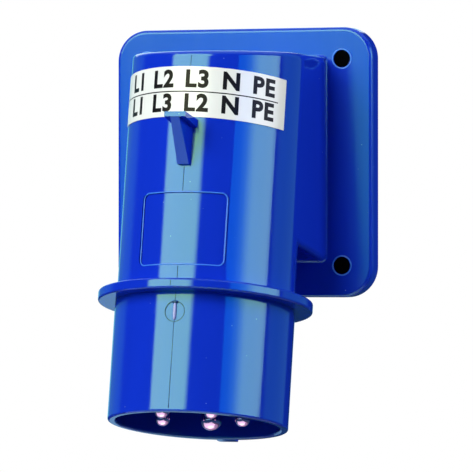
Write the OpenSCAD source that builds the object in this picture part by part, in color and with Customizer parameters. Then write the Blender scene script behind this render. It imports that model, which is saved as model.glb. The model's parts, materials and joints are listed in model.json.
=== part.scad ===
// Angled appliance inlet with a phase inverter.
// A one-piece housing joins a square mounting plate, a hood and a round plug collar. The insert
// in the collar carries five contact pins, two of them on a disc that turns half a round.
// The mounting face is the plane Y = 0, the plug side looks towards -Y and +Z is up.

/* [Mounting plate] */
// Width of the plate, along X
plate_w = 87; // [82:0.5:100]
// Height of the plate, along Z
plate_h = 87; // [82:0.5:100]
// Depth of the plate, from its mounting face to its front face
plate_t = 6.5; // [5.5:0.1:9]
// Corner radius of the plate's outline
plate_corner_r = 10; // [7:0.5:14]
// Rounding of the plate's front edge
plate_edge_r = 1.3; // [0.8:0.1:3]
// Thickness of the plate's front wall, in front of the seal
plate_wall = 3.2; // [2.4:0.1:4.5]
// Width of the skirt round the seal
skirt_w = 3; // [2:0.1:4]
// Distance of a screw hole from the plate's edges
hole_edge = 10.25; // [9:0.05:11]
// Diameter of a screw hole
hole_d = 5.6; // [4.2:0.1:6.5]
// Diameter of the boss round a screw hole
hole_boss_d = 9; // [8:0.5:11]
// Distance of the seal's opening from the hood's hollow
seal_margin = 0.6; // [0.2:0.1:2]

/* [Plug collar] */
// Tilt of the plug axis away from the plate
tilt = 11; // [8:0.5:14]
// Distance of the flange's centre in front of the mounting face
flange_out = 44.8; // [43:0.1:48]
// Distance of the flange's centre below the plate's lower edge
flange_drop = 3.2; // [1:0.1:8]
// Outside diameter of the collar
collar_d = 57; // [56:0.1:59]
// Wall of the collar
collar_wall = 2.5; // [2:0.1:3]
// Length of the collar below the flange
collar_l = 37.8; // [32:0.1:42]
// Rounding of the collar's rim
rim_r = 0.7; // [0.2:0.1:0.9]
// Diameter of the flange
flange_d = 68; // [63:0.5:72]
// Thickness of the flange
flange_t = 3.2; // [2.4:0.1:5]
// Rounding of the flange's edges
flange_edge_r = 0.6; // [0.2:0.1:1]
// Width of the guide key at the back of the collar
key_w = 6.5; // [5:0.5:12]
// Height of the guide key
key_h = 3; // [2:0.1:5]

/* [Hood] */
// Wall of the body and the hood
body_wall = 3; // [2.4:0.1:3.6]
// Distance of the hood's top below the plate's upper edge
hood_drop = 9.5; // [5:0.5:12]
// Rounding of the hood's top edge
hood_edge_r = 1.5; // [0.5:0.1:2.4]
// Distance of the hood's underside above the flange's lower face, along the plug axis
hood_floor = 21.7; // [19:0.1:23]
// Rounding of the hood's lower edges
hood_floor_r = 2; // [0.5:0.1:3]
// Fillet where the hood meets the plate
foot_r = 0.8; // [0.4:0.1:1.2]
// How far each side wall stands inside the round body's widest line
side_inset = 0.05; // [0.05:0.05:0.6]
// Width of the shallow name panel
panel_w = 28.8; // [20:0.1:36]
// Height of the name panel, along the plug axis
panel_h = 23; // [14:0.5:24]
// Distance of the name panel's centre above the flange's lower face
panel_mid = 20.1; // [19:0.1:24]
// Depth of the name panel
panel_depth = 0.4; // [0.2:0.05:0.8]
// Corner radius of the name panel
panel_corner_r = 2; // [0.5:0.1:4]

/* [Lid hook] */
// Distance of the hook's upper face below the label
hook_gap = 1; // [0.5:0.1:4]
// How far the hook stands out of the body
hook_reach = 12; // [8:0.1:14]
// Width of the hook's plate
hook_w = 6.9; // [5:0.1:10]
// Thickness of the hook's plate at its tip
hook_tip_t = 1.6; // [1:0.1:2.4]
// Thickness of the hook's plate at its root
hook_root_t = 2.7; // [1.6:0.1:4]
// Height of the rib below the hook's upper face
hook_rib_h = 14.4; // [9:0.1:18]
// How far the rib's lower end stands out of the body
hook_foot = 1.4; // [0.6:0.1:3]
// Thickness of the rib at its outer edge
hook_rib_tip = 2.9; // [1.2:0.1:3.5]
// Thickness of the rib at its root
hook_rib_root = 4; // [2.4:0.1:5]

/* [Label] */
// Height of the label
label_h = 16.2; // [8:0.1:17]
// Distance of the label's upper edge below the hood's top, down the front
label_drop = 5; // [3:0.1:9]
// Angle that the label covers round the body
label_angle = 135; // [90:1:160]
// Angle by which the label sits askew, its right end lower
label_skew = 1.8; // [0:0.1:3]
// Thickness of the label
label_t = 0.15; // [0.1:0.01:0.3]

/* [Contacts] */
// Distance of the phase and neutral pins from the collar's inside
pin_in = 12; // [11.5:0.1:12.5]
// Diameter of a phase or neutral pin
pin_d = 5; // [4.5:0.1:5.2]
// Distance of the earth pin from the collar's inside
earth_in = 13.5; // [12:0.1:14.5]
// Diameter of the earth pin
earth_d = 7; // [6:0.1:7.4]
// How far the pin tips stand inside the rim
pin_recess = 0.6; // [0.2:0.1:6]
// Diameter of a phase or neutral terminal
terminal_d = 9; // [8.4:0.1:9.4]
// Diameter of the earth terminal
earth_terminal_d = 10; // [9:0.1:10.4]
// Diameter of a wire hole
wire_d = 4.4; // [3:0.1:5]
// Depth of a wire hole
wire_depth = 11; // [8:0.5:12]

/* [Insert] */
// Width of the shoulder that the insert rests on
seat_w = 0.9; // [0.6:0.1:1.2]
// Thickness of the contact carrier's flange
carrier_flange_t = 4; // [3.4:0.1:4.6]
// Thickness of the contact carrier
carrier_t = 12; // [11.5:0.1:13.5]
// Thickness of the terminal carrier's base
base_t = 5; // [4:0.1:6]
// Height of the terminal towers
tower_h = 10; // [9:0.1:12]
// Wall of a terminal tower
tower_wall = 1.6; // [1.2:0.1:1.8]
// Wall of the disc outside its pins
disc_wall = 0.9; // [0.7:0.1:1]
// Width of the step that keeps the disc in the carrier
disc_step = 0.8; // [0.5:0.1:0.9]
// Thickness of the disc's front part
disc_front_t = 4; // [3.4:0.1:4.4]
// Thickness of the disc
disc_t = 9; // [8:0.1:9.4]
// Diameter of the disc's spindle
spindle_d = 3.2; // [2.6:0.1:3.4]
// Width of the driver slot
slot_w = 1.8; // [1:0.1:2.2]
// Length of the driver slot
slot_l = 13; // [8:0.5:15]
// Depth of the driver slot
slot_depth = 2.2; // [1:0.1:2.8]
// Diameter of a screw's shank
screw_d = 3; // [2.6:0.1:3.2]
// Diameter of a screw's head
screw_head_d = 5.6; // [5:0.1:6]
// Height of a screw's head
screw_head_h = 1.9; // [1.5:0.1:2.1]

/* [Fits] */
// Gap all round a piece that is seated in another
fit_gap = 0.05; // [0.02:0.01:0.1]
// Gap all round the turning disc
run_gap = 0.06; // [0.03:0.01:0.1]
// Gap round the seal and the insert in the housing
loose_gap = 0.2; // [0.1:0.05:0.4]

/* [Hidden] */
$fn = 96;

blue = [0.09, 0.30, 0.80];
black = [0.10, 0.10, 0.11];
grey = [0.36, 0.37, 0.39];
paper = [0.93, 0.94, 0.92];
brass = [0.80, 0.62, 0.34];
nickel = [0.80, 0.72, 0.74];
bronze = [0.72, 0.48, 0.26];
steel = [0.74, 0.75, 0.77];

// Length that passes through any piece of the part
through = 250;
// Overlap of pieces that are joined into one solid
merge = 0.5;

// Places measured from the plate's edges
hole_x = plate_w / 2 - hole_edge;
hole_z = plate_h / 2 - hole_edge;
hood_top = plate_h / 2 - hood_drop;
flange_down = plate_h / 2 + flange_drop;

// Radii of the housing round the plug axis
collar_r = collar_d / 2;
collar_in = collar_r - collar_wall;
body_in = collar_in - seat_w;
body_r = body_in + body_wall;
flange_r = flange_d / 2;
side_x = body_r - side_inset;
seal_t = plate_t - plate_wall;
seal_corner_r = 8;
key_corner_r = 0.8;

// Heights along the plug axis, down from the hood's top at the front of the body
front_top = (hood_top + flange_down - body_r * sin(tilt)) / cos(tilt);
label_low = front_top - label_drop - label_h;
hook_top = label_low - hook_gap;
hook_rib_inset = 0.2;

// Room round the hood's top: its sides lean more than the front wall, as the sine and cosine of the lean
// and the length of the leaning line say. It cuts a little into the side walls and the front wall
lean_run = 0.28;
lean_rise = 0.96;
lean_l = 100;
top_side_bite = 0.2;
top_front_bite = 0.06;
// Centre of the room's rounding, and the end of its round front
top_round_x = side_x - top_side_bite - hood_edge_r;
top_front_y = -flange_out + (hood_top + flange_down) * tan(tilt) - body_r / cos(tilt) + top_front_bite;
top_turn_y = top_front_y + top_round_x + hood_edge_r * (1 - sin(tilt)) / cos(tilt);

// Gate mark under the flange: a shallow flat and the stub of the sprue
gate_z = -6.4;
gate_r = 3.2;
gate_depth = 0.3;
stub_r = 0.45;
stub_l = 5.2;

// Height of the hood's leaning underside at the outer edge of the fillet
foot_low = hood_floor / cos(tilt) - (flange_out - plate_t - foot_r) * tan(tilt) - flange_down;
foot_bite = 0.02;
foot_turn_r = hood_floor_r + foot_r / 4;

// Height of the hollow's floor where it leaves the mounting face
hollow_low = (hood_floor + body_wall) / cos(tilt) - flange_out * tan(tilt) - flange_down;

// Angles of the five pins round the plug axis, from the front towards +X
pin_step = 72;
earth_at = 180;
phase_1_at = earth_at - pin_step;
phase_2_at = phase_1_at - pin_step;
phase_3_at = phase_2_at - pin_step;
neutral_at = phase_3_at - pin_step;
pin_circle_r = collar_in - pin_in;
earth_off = collar_in - earth_in;
pin_r = pin_d / 2;
earth_r = earth_d / 2;
tip_z = pin_recess - collar_l;

// Turning disc: its centre lies halfway between the two pins that it carries
disc_off = pin_circle_r * cos(pin_step / 2);
disc_pin_off = pin_circle_r * sin(pin_step / 2);
disc_r = disc_pin_off + pin_r + disc_wall;
disc_flange_r = disc_r + disc_step;
disc_pin_head_r = pin_r + disc_wall;
disc_pin_head_t = 4;
disc_pin_head_z = disc_t - disc_pin_head_t;
contact_stand = 0.8;
contact_z = disc_t + contact_stand;
contact_gap = 0.1;
swap_angle = 180;
spindle_r = spindle_d / 2;
stop_h = 0.9;
stop_half_angle = 8;
stop_slack = 0.6;

// Cone spring under the terminal carrier
washer_t = 0.35;
washer_h = 1;
washer_bore_gap = 0.15;
washer_edge_gap = 0.6;
washer_in = spindle_r + washer_bore_gap;
washer_out = disc_pin_off - disc_pin_head_r - washer_edge_gap;

// Pin shanks and collars in the contact carrier
shank_extra = 0.4;
pin_collar_t = 4;
pin_collar_extra = 0.7;
terminal_r = terminal_d / 2;
earth_terminal_r = earth_terminal_d / 2;
base_z = carrier_t;
base_top = base_z + base_t;
tower_top = base_top + tower_h;
terminal_stand = 1;
terminal_top = tower_top + terminal_stand;
terminal_foot_extra = 1;
terminal_foot_r = terminal_r + terminal_foot_extra;
terminal_foot_t = 1.5;

// Leaf springs between the turning pins and their terminals
leaf_w = 4;
leaf_t = 0.5;
leaf_flat = 2;
leaf_seat = 1;
leaf_edge_gap = 0.1;
leaf_end = terminal_foot_r - leaf_edge_gap;

// Screws
screw_r = screw_d / 2;
screw_head_r = screw_head_d / 2;
screw_slot_w = 0.9;
screw_slot_depth = 0.9;
clamp_r = 1.75;
clamp_z = base_top + tower_h / 2;
clamp_stand = 0.4;
clamp_rest = 0.6;
clamp_depth = terminal_r - clamp_rest;
carrier_screw_angle = 72;
carrier_boss_r = 3.6;
carrier_boss_h = 12;
carrier_screw_off = body_in - carrier_boss_r + merge;
carrier_screw_cover = 2;
carrier_screw_end = carrier_flange_t + carrier_boss_h - carrier_screw_cover;
screw_bore_extra = 1;
hub_r = body_in - loose_gap;
joint_screw_angle = 144;
joint_screw_margin = 3;
joint_screw_off = hub_r - screw_head_r - joint_screw_margin;
joint_screw_bite = 7;
joint_screw_end = carrier_t - joint_screw_bite;

// Plug frame: z runs up the plug axis from the flange's lower face, and -y is the front
module plug_frame() {
    translate([0, -flange_out, -flange_down])
        rotate([-tilt, 0, 0])
            children();
}

// Plate frame: z runs from the mounting face to the front, and y is up
module plate_frame() {
    rotate([90, 0, 0])
        children();
}

// Places a piece at an angle round the plug axis, with its -y side outward
module at_angle(angle, off) {
    translate([off * sin(angle), -off * cos(angle), 0])
        rotate([0, 0, angle])
            children();
}

// Repeats a piece at the four screw holes of the plate
module at_holes() {
    for (x = [-1, 1], y = [-1, 1])
        translate([x * hole_x, y * hole_z, 0])
            children();
}

// Rectangle with round corners, about the origin
module round_rect(w, h, r) {
    square([w - 2 * r, h], center = true);
    square([w, h - 2 * r], center = true);
    for (x = [-1, 1], y = [-1, 1])
        translate([x * (w / 2 - r), y * (h / 2 - r)])
            circle(r);
}

// Section of the plate's border: a strip with its front outer corner rounded
module plate_edge_section() {
    inner = plate_corner_r - plate_edge_r;
    square([inner, plate_t]);
    square([plate_corner_r, plate_t - plate_edge_r]);
    translate([inner, plate_t - plate_edge_r])
        circle(plate_edge_r);
}

// One straight stretch of the plate's border, facing +x
module plate_side(half, len) {
    translate([half - plate_corner_r, len / 2, 0])
        rotate([90, 0, 0])
            linear_extrude(len)
                plate_edge_section();
}

// Plate with a rounded front edge all round
module plate_blank() {
    flat_w = plate_w - 2 * plate_corner_r;
    flat_h = plate_h - 2 * plate_corner_r;
    translate([-flat_w / 2, -flat_h / 2, 0])
        cube([flat_w, flat_h, plate_t]);
    for (a = [0, 180]) {
        rotate([0, 0, a])
            plate_side(plate_w / 2, flat_h);
        rotate([0, 0, a + 90])
            plate_side(plate_h / 2, flat_w);
    }
    for (turn = [0 : 3])
        translate([(turn == 0 || turn == 3 ? 1 : -1) * flat_w / 2, (turn < 2 ? 1 : -1) * flat_h / 2, 0])
            rotate([0, 0, 90 * turn])
                rotate_extrude(angle = 90)
                    plate_edge_section();
}

// Shallow pan in the back of the plate, round the screw bosses
module seal_pan() {
    difference() {
        translate([0, 0, -merge])
            linear_extrude(seal_t + merge)
                round_rect(plate_w - 2 * skirt_w, plate_h - 2 * skirt_w, plate_corner_r - skirt_w);
        at_holes()
            translate([0, 0, -2 * merge])
                cylinder(r = hole_boss_d / 2, h = seal_t + 3 * merge);
    }
}

// Everything below a height over the plate's centre and in front of a depth from the mounting face
module room_below(top, back) {
    translate([-through / 2, -through - back, top - through])
        cube([through, through, through]);
}

// Outline of the hood: the round body with flat side walls that run back to the plate
module hood_mass(r, half_w, low, floor_r) {
    translate([0, 0, low])
        cylinder(r = r, h = through);
    translate([0, through, low])
        rotate([90, 0, 0])
            linear_extrude(through)
                translate([0, through / 2])
                    hood_section(half_w, floor_r);
}

// Section of the hood's square part, with its two lower edges rounded
module hood_section(half_w, floor_r) {
    translate([-half_w + floor_r, -through / 2])
        square([2 * (half_w - floor_r), through]);
    translate([-half_w, -through / 2 + floor_r])
        square([2 * half_w, through - floor_r]);
    for (x = [-1, 1])
        translate([x * (half_w - floor_r), -through / 2 + floor_r])
            circle(floor_r);
}

// Section of the room under the hood's rounded top edge, which leans outward below the rounding
module hood_top_section() {
    round_z = hood_top - hood_edge_r;
    end_x = hood_edge_r * lean_rise;
    end_z = hood_edge_r * lean_run;
    foot_x = top_round_x + end_x + lean_l * lean_run;
    foot_z = round_z + end_z - lean_l * lean_rise;
    translate([0, round_z])
        square([top_round_x, hood_edge_r]);
    translate([top_round_x, round_z])
        intersection() {
            circle(hood_edge_r);
            polygon([[0, 0], [2 * end_x, 2 * end_z], [2 * end_x, 2 * hood_edge_r], [0, 2 * hood_edge_r]]);
        }
    polygon([
        [0, round_z],
        [top_round_x, round_z],
        [top_round_x + end_x, round_z + end_z],
        [foot_x, foot_z],
        [0, foot_z]
    ]);
}

// Room that holds the hood's rounded top: turned about the front, straight along the sides
module hood_top_room() {
    translate([0, top_turn_y, 0]) {
        rotate([0, 0, 180])
            rotate_extrude(angle = 180)
                hood_top_section();
        rotate([90, 0, 180])
            linear_extrude(-top_turn_y - plate_t + plate_wall / 2) {
                hood_top_section();
                mirror([1, 0])
                    hood_top_section();
            }
    }
}

// Fillet section between the plate, along x, and a wall that stands on it
module foot_section() {
    difference() {
        translate([-merge, -merge])
            square(foot_r + merge);
        translate([foot_r, foot_r])
            circle(foot_r + foot_bite);
    }
}

// Fillet all round the hood, on the plate's front face
module hood_foot() {
    top_x = side_x - hood_edge_r;
    low_x = side_x - foot_turn_r;
    side_top = hood_top - hood_edge_r;
    side_low = foot_low + foot_turn_r;
    translate([-top_x, hood_top, plate_t])
        rotate([90, 0, 90])
            linear_extrude(2 * top_x)
                foot_section();
    translate([low_x, foot_low, plate_t])
        rotate([90, 0, -90])
            linear_extrude(2 * low_x)
                foot_section();
    for (side = [0, 1])
        mirror([side, 0, 0]) {
            translate([side_x, side_top, plate_t])
                rotate([90, 0, 0])
                    linear_extrude(side_top - side_low)
                        foot_section();
            translate([top_x, side_top, plate_t])
                rotate_extrude(angle = 90)
                    translate([hood_edge_r, 0])
                        foot_section();
            translate([low_x, side_low, plate_t])
                rotate([0, 0, -90])
                    rotate_extrude(angle = 90)
                        translate([foot_turn_r, 0])
                            foot_section();
        }
}

// Outer form of collar, flange and body, turned about the plug axis
module plug_section() {
    translate([0, -collar_l])
        square([collar_r - rim_r, collar_l + hood_floor]);
    translate([0, rim_r - collar_l])
        square([collar_r, collar_l - rim_r]);
    translate([collar_r - rim_r, rim_r - collar_l])
        circle(rim_r);
    square([body_r, hood_floor]);
    square([flange_r - flange_edge_r, flange_t]);
    translate([0, flange_edge_r])
        square([flange_r, flange_t - 2 * flange_edge_r]);
    for (z = [flange_edge_r, flange_t - flange_edge_r])
        translate([flange_r - flange_edge_r, z])
            circle(flange_edge_r);
}

// Bore of the collar, with the rim's inner edge rounded
module collar_bore_section() {
    translate([0, -collar_l - merge])
        square([collar_in, collar_l + merge + carrier_flange_t]);
    difference() {
        translate([collar_in - merge, -collar_l - merge])
            square([rim_r + merge, rim_r + merge]);
        translate([collar_in + rim_r, rim_r - collar_l])
            circle(rim_r);
    }
}

// Guide key along the back of the collar
module guide_key() {
    translate([0, collar_r - merge + (key_h + merge) / 2, -collar_l])
        linear_extrude(collar_l)
            round_rect(key_w, key_h + merge, key_corner_r);
}

// Lid hook: a plate that thins towards its tip, carried by a rib that thins outward
module lid_hook() {
    root_y = -body_r + merge;
    tip_y = -body_r - hook_reach;
    rib_tip_y = tip_y + hook_rib_inset;
    foot_y = -body_r - hook_foot;
    rotate([90, 0, 90])
        translate([0, 0, -hook_w / 2])
            linear_extrude(hook_w)
                polygon([
                    [root_y, hook_top],
                    [tip_y, hook_top],
                    [tip_y, hook_top - hook_tip_t],
                    [root_y, hook_top - hook_root_t]
                ]);
    intersection() {
        rotate([90, 0, 90])
            translate([0, 0, -hook_w / 2])
                linear_extrude(hook_w)
                    polygon([
                        [root_y, hook_top - hook_tip_t / 2],
                        [rib_tip_y, hook_top - hook_tip_t / 2],
                        [rib_tip_y, hook_top - hook_tip_t],
                        [foot_y, hook_top - hook_rib_h],
                        [root_y, hook_top - hook_rib_h]
                    ]);
        linear_extrude(hook_top)
            polygon([
                [-hook_rib_root / 2, root_y],
                [-hook_rib_tip / 2, rib_tip_y],
                [hook_rib_tip / 2, rib_tip_y],
                [hook_rib_root / 2, root_y]
            ]);
    }
}

// Shallow panel sunk into the front of the body
module name_panel() {
    difference() {
        translate([0, 0, panel_mid])
            rotate([90, 0, 0])
                linear_extrude(through)
                    round_rect(panel_w, panel_h, panel_corner_r);
        cylinder(r = body_r - panel_depth, h = through);
    }
}

// Shallow flat of the gate mark
module gate_flat() {
    translate([0, gate_depth - collar_r, gate_z])
        rotate([90, 0, 0])
            cylinder(r = gate_r, h = 2 * gate_depth);
}

// Stub of the sprue on the gate mark
module gate_stub() {
    translate([0, gate_depth - collar_r, gate_z - stub_l / 2])
        cylinder(r = stub_r, h = stub_l);
}

// Inside of the body and the hood, open at the back of the plate
module hood_hollow() {
    intersection() {
        plug_frame() {
            translate([0, 0, carrier_flange_t - merge])
                cylinder(r = body_in, h = through);
            hood_mass(body_in, side_x - body_wall, hood_floor + body_wall, hood_floor_r / 2);
        }
        room_below(hood_top - body_wall, -merge);
    }
}

// Boss in the body for a screw that holds the insert
module carrier_boss() {
    translate([0, 0, carrier_flange_t])
        cylinder(r = carrier_boss_r, h = carrier_boss_h);
}

// One-piece moulded housing
module housing() {
    color(blue)
        difference() {
            union() {
                difference() {
                    union() {
                        plate_frame() {
                            plate_blank();
                            hood_foot();
                        }
                        intersection() {
                            plug_frame()
                                hood_mass(body_r, side_x, hood_floor, hood_floor_r);
                            hood_top_room();
                        }
                        plug_frame() {
                            rotate_extrude()
                                plug_section();
                            guide_key();
                            lid_hook();
                        }
                    }
                    hood_hollow();
                    plug_frame() {
                        rotate_extrude()
                            collar_bore_section();
                        name_panel();
                        gate_flat();
                    }
                }
                plug_frame() {
                    for (side = [-1, 1])
                        at_angle(side * carrier_screw_angle, carrier_screw_off)
                            carrier_boss();
                    gate_stub();
                }
            }
            plug_frame()
                for (side = [-1, 1])
                    at_angle(side * carrier_screw_angle, carrier_screw_off)
                        cylinder(r = screw_r + fit_gap, h = carrier_screw_end + screw_bore_extra);
            plate_frame() {
                seal_pan();
                at_holes()
                    translate([0, 0, -merge])
                        cylinder(r = hole_d / 2, h = plate_t + 2 * merge);
            }
        }
}

// Two-row label round the front of the hood
module label() {
    color(paper)
        plug_frame()
            intersection() {
                rotate([0, 0, -90 - label_angle / 2])
                    rotate_extrude(angle = label_angle)
                        translate([body_r + fit_gap, label_low - label_h / 2])
                            square([label_t, 2 * label_h]);
                translate([0, 0, label_low + label_h / 2])
                    rotate([0, label_skew, 0])
                        translate([-through / 2, -through / 2, -label_h / 2])
                            cube([through, through, label_h]);
            }
}

// Flat rubber seal in the back of the plate
module panel_seal() {
    w = plate_w - 2 * skirt_w - 2 * loose_gap;
    h = plate_h - 2 * skirt_w - 2 * loose_gap;
    open_w = 2 * (side_x - body_wall + seal_margin);
    open_low = hollow_low - seal_margin;
    open_top = hood_top - body_wall + seal_margin;
    color(black)
        plate_frame()
            linear_extrude(seal_t)
                difference() {
                    round_rect(w, h, plate_corner_r - skirt_w - loose_gap);
                    translate([0, (open_low + open_top) / 2])
                        round_rect(open_w, open_top - open_low, seal_corner_r);
                    at_holes()
                        circle(hole_boss_d / 2 + loose_gap);
                }
}

// Notch that lets a housing boss pass the insert
module boss_notch(low, high) {
    for (side = [-1, 1])
        at_angle(side * carrier_screw_angle, carrier_screw_off)
            translate([0, 0, low])
                cylinder(r = carrier_boss_r + loose_gap, h = high - low);
}

// Stepped bore for a fixed pin, with its seat in the back of the contact carrier
module pin_bore(r, collar_radius) {
    translate([0, 0, -merge])
        cylinder(r = r + shank_extra + fit_gap, h = carrier_t + 2 * merge);
    translate([0, 0, carrier_t - pin_collar_t])
        cylinder(r = collar_radius + fit_gap, h = pin_collar_t + merge);
}

// Bore, pocket and stop groove for the turning disc
module disc_pocket() {
    groove_r = disc_flange_r + run_gap;
    groove_half = swap_angle / 2 + stop_half_angle + stop_slack;
    translate([0, -disc_off, 0]) {
        translate([0, 0, -merge])
            cylinder(r = disc_r + run_gap, h = carrier_t);
        translate([0, 0, disc_front_t])
            cylinder(r = groove_r, h = carrier_t);
        translate([0, 0, disc_front_t])
            rotate([0, 0, 90 - groove_half])
                rotate_extrude(angle = 2 * groove_half)
                    translate([groove_r - merge, 0])
                        square([stop_h + merge + run_gap, carrier_t]);
    }
}

// Insulating carrier of the pins, let into the collar from below
module contact_carrier() {
    color(black)
        plug_frame()
            difference() {
                union() {
                    cylinder(r = collar_in - loose_gap, h = carrier_flange_t);
                    translate([0, 0, carrier_flange_t - merge])
                        cylinder(r = hub_r, h = carrier_t - carrier_flange_t + merge);
                }
                boss_notch(carrier_flange_t, carrier_t + merge);
                for (a = [phase_1_at, neutral_at])
                    at_angle(a, pin_circle_r)
                        pin_bore(pin_r, terminal_r + pin_collar_extra);
                at_angle(earth_at, earth_off)
                    pin_bore(earth_r, earth_terminal_r + pin_collar_extra);
                disc_pocket();
                for (side = [-1, 1]) {
                    at_angle(side * carrier_screw_angle, carrier_screw_off)
                        translate([0, 0, -merge]) {
                            cylinder(r = screw_r + 2 * fit_gap, h = carrier_t);
                            cylinder(r = screw_head_r + loose_gap, h = screw_head_h + merge);
                        }
                    at_angle(side * joint_screw_angle, joint_screw_off)
                        translate([0, 0, joint_screw_end - screw_bore_extra])
                            cylinder(r = screw_r + fit_gap, h = carrier_t);
                }
            }
}

// Tower round a terminal, with a window for its clamp screw
module terminal_tower(r) {
    translate([0, 0, base_z + merge])
        cylinder(r = r + fit_gap + tower_wall, h = tower_top - base_z - merge);
}

// Bore of a tower and the window in its outer side
module terminal_room(r) {
    translate([0, 0, base_z - merge])
        cylinder(r = r + fit_gap, h = terminal_top);
    translate([0, 0, clamp_z])
        rotate([90, 0, 0])
            cylinder(r = screw_head_r + loose_gap, h = 2 * r + tower_wall);
}

// Rear insulating body: a base with five towers
module terminal_carrier() {
    color(grey)
        plug_frame()
            difference() {
                union() {
                    translate([0, 0, base_z])
                        cylinder(r = hub_r - loose_gap, h = base_t);
                    translate([0, -disc_off, disc_t + washer_h])
                        cylinder(r = washer_out, h = base_z - disc_t - washer_h + merge);
                    for (a = [phase_1_at, phase_2_at, phase_3_at, neutral_at])
                        at_angle(a, pin_circle_r)
                            terminal_tower(terminal_r);
                    at_angle(earth_at, earth_off)
                        terminal_tower(earth_terminal_r);
                }
                boss_notch(base_z - merge, base_top + merge);
                for (a = [phase_1_at, phase_2_at, phase_3_at, neutral_at])
                    at_angle(a, pin_circle_r)
                        terminal_room(terminal_r);
                at_angle(earth_at, earth_off)
                    terminal_room(earth_terminal_r);
                for (a = [phase_2_at, phase_3_at])
                    at_angle(a, pin_circle_r)
                        translate([0, 0, base_z - merge])
                            cylinder(r = terminal_foot_r + fit_gap, h = terminal_foot_t + merge);
                translate([0, -disc_off, disc_t])
                    cylinder(r = spindle_r + run_gap, h = base_top);
                for (side = [-1, 1])
                    at_angle(side * joint_screw_angle, joint_screw_off)
                        translate([0, 0, base_z - merge])
                            cylinder(r = screw_r + 2 * fit_gap, h = base_t + 2 * merge);
            }
}

// Turning disc with a spindle, a stop on its rim and a driver slot in its face
module inverter_disc() {
    color(grey)
        plug_frame()
            translate([0, -disc_off, 0])
                difference() {
                    union() {
                        cylinder(r = disc_r, h = disc_front_t + merge);
                        translate([0, 0, disc_front_t + run_gap])
                            cylinder(r = disc_flange_r, h = disc_t - disc_front_t - run_gap);
                        translate([0, 0, disc_t - merge])
                            cylinder(r = spindle_r, h = base_top - disc_t + merge);
                        translate([0, 0, disc_front_t + run_gap])
                            rotate([0, 0, -stop_half_angle])
                                rotate_extrude(angle = 2 * stop_half_angle)
                                    translate([disc_flange_r - merge, 0])
                                        square([stop_h + merge, disc_t - disc_front_t - run_gap]);
                    }
                    for (side = [-1, 1])
                        translate([side * disc_pin_off, 0, 0]) {
                            translate([0, 0, -merge])
                                cylinder(r = pin_r + fit_gap, h = disc_t);
                            translate([0, 0, disc_pin_head_z])
                                cylinder(r = disc_pin_head_r + fit_gap, h = disc_t);
                        }
                    translate([-slot_w / 2, -slot_l / 2, -merge])
                        cube([slot_w, slot_l, slot_depth + merge]);
                }
}

// Cone spring round the disc's spindle
module spring_washer() {
    low = disc_t + fit_gap;
    high = disc_t + washer_h - fit_gap;
    color(steel)
        plug_frame()
            translate([0, -disc_off, 0])
                rotate_extrude()
                    polygon([
                        [washer_in, high - washer_t],
                        [washer_in, high],
                        [washer_out, low + washer_t],
                        [washer_out, low]
                    ]);
}

// Half section of a pin from its round tip up to a height
module pin_section(r, root_z) {
    translate([0, tip_z + r]) {
        intersection() {
            circle(r);
            translate([0, -r])
                square([r, r]);
        }
        square([r, root_z - tip_z - r]);
    }
}

// Wire hole and clamp thread of a terminal
module terminal_holes(r) {
    translate([0, 0, terminal_top - wire_depth])
        cylinder(r = wire_d / 2, h = terminal_top);
    translate([0, 0, clamp_z])
        rotate([90, 0, 0])
            cylinder(r = clamp_r + fit_gap, h = r + merge);
}

// Fixed pin turned in one piece with its terminal
module fixed_pin(r, terminal_radius) {
    difference() {
        rotate_extrude() {
            pin_section(r, 0);
            square([r + shank_extra, carrier_t]);
            translate([0, carrier_t - pin_collar_t])
                square([terminal_radius + pin_collar_extra, pin_collar_t]);
            translate([0, carrier_t])
                square([terminal_radius, terminal_top - carrier_t]);
        }
        terminal_holes(terminal_radius);
    }
}

// Pin on the turning disc, with a head that meets the leaf spring
module disc_pin() {
    rotate_extrude() {
        pin_section(pin_r, disc_pin_head_z);
        translate([0, disc_pin_head_z])
            square([disc_pin_head_r, contact_z - disc_pin_head_z]);
    }
}

module earth_pin() {
    color(nickel)
        plug_frame()
            at_angle(earth_at, earth_off)
                fixed_pin(earth_r, earth_terminal_r);
}

module neutral_pin() {
    color(nickel)
        plug_frame()
            at_angle(neutral_at, pin_circle_r)
                fixed_pin(pin_r, terminal_r);
}

module phase_pin_1() {
    color(nickel)
        plug_frame()
            at_angle(phase_1_at, pin_circle_r)
                fixed_pin(pin_r, terminal_r);
}

module phase_pin_2() {
    color(nickel)
        plug_frame()
            at_angle(phase_2_at, pin_circle_r)
                disc_pin();
}

module phase_pin_3() {
    color(nickel)
        plug_frame()
            at_angle(phase_3_at, pin_circle_r)
                disc_pin();
}

// Fixed terminal above a turning pin, held by its foot under the terminal carrier
module disc_terminal() {
    difference() {
        union() {
            translate([0, 0, base_z])
                cylinder(r = terminal_foot_r, h = terminal_foot_t);
            translate([0, 0, base_z])
                cylinder(r = terminal_r, h = terminal_top - base_z);
        }
        terminal_holes(terminal_r);
    }
}

module phase_terminal_2() {
    color(brass)
        plug_frame()
            at_angle(phase_2_at, pin_circle_r)
                disc_terminal();
}

module phase_terminal_3() {
    color(brass)
        plug_frame()
            at_angle(phase_3_at, pin_circle_r)
                disc_terminal();
}

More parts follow.
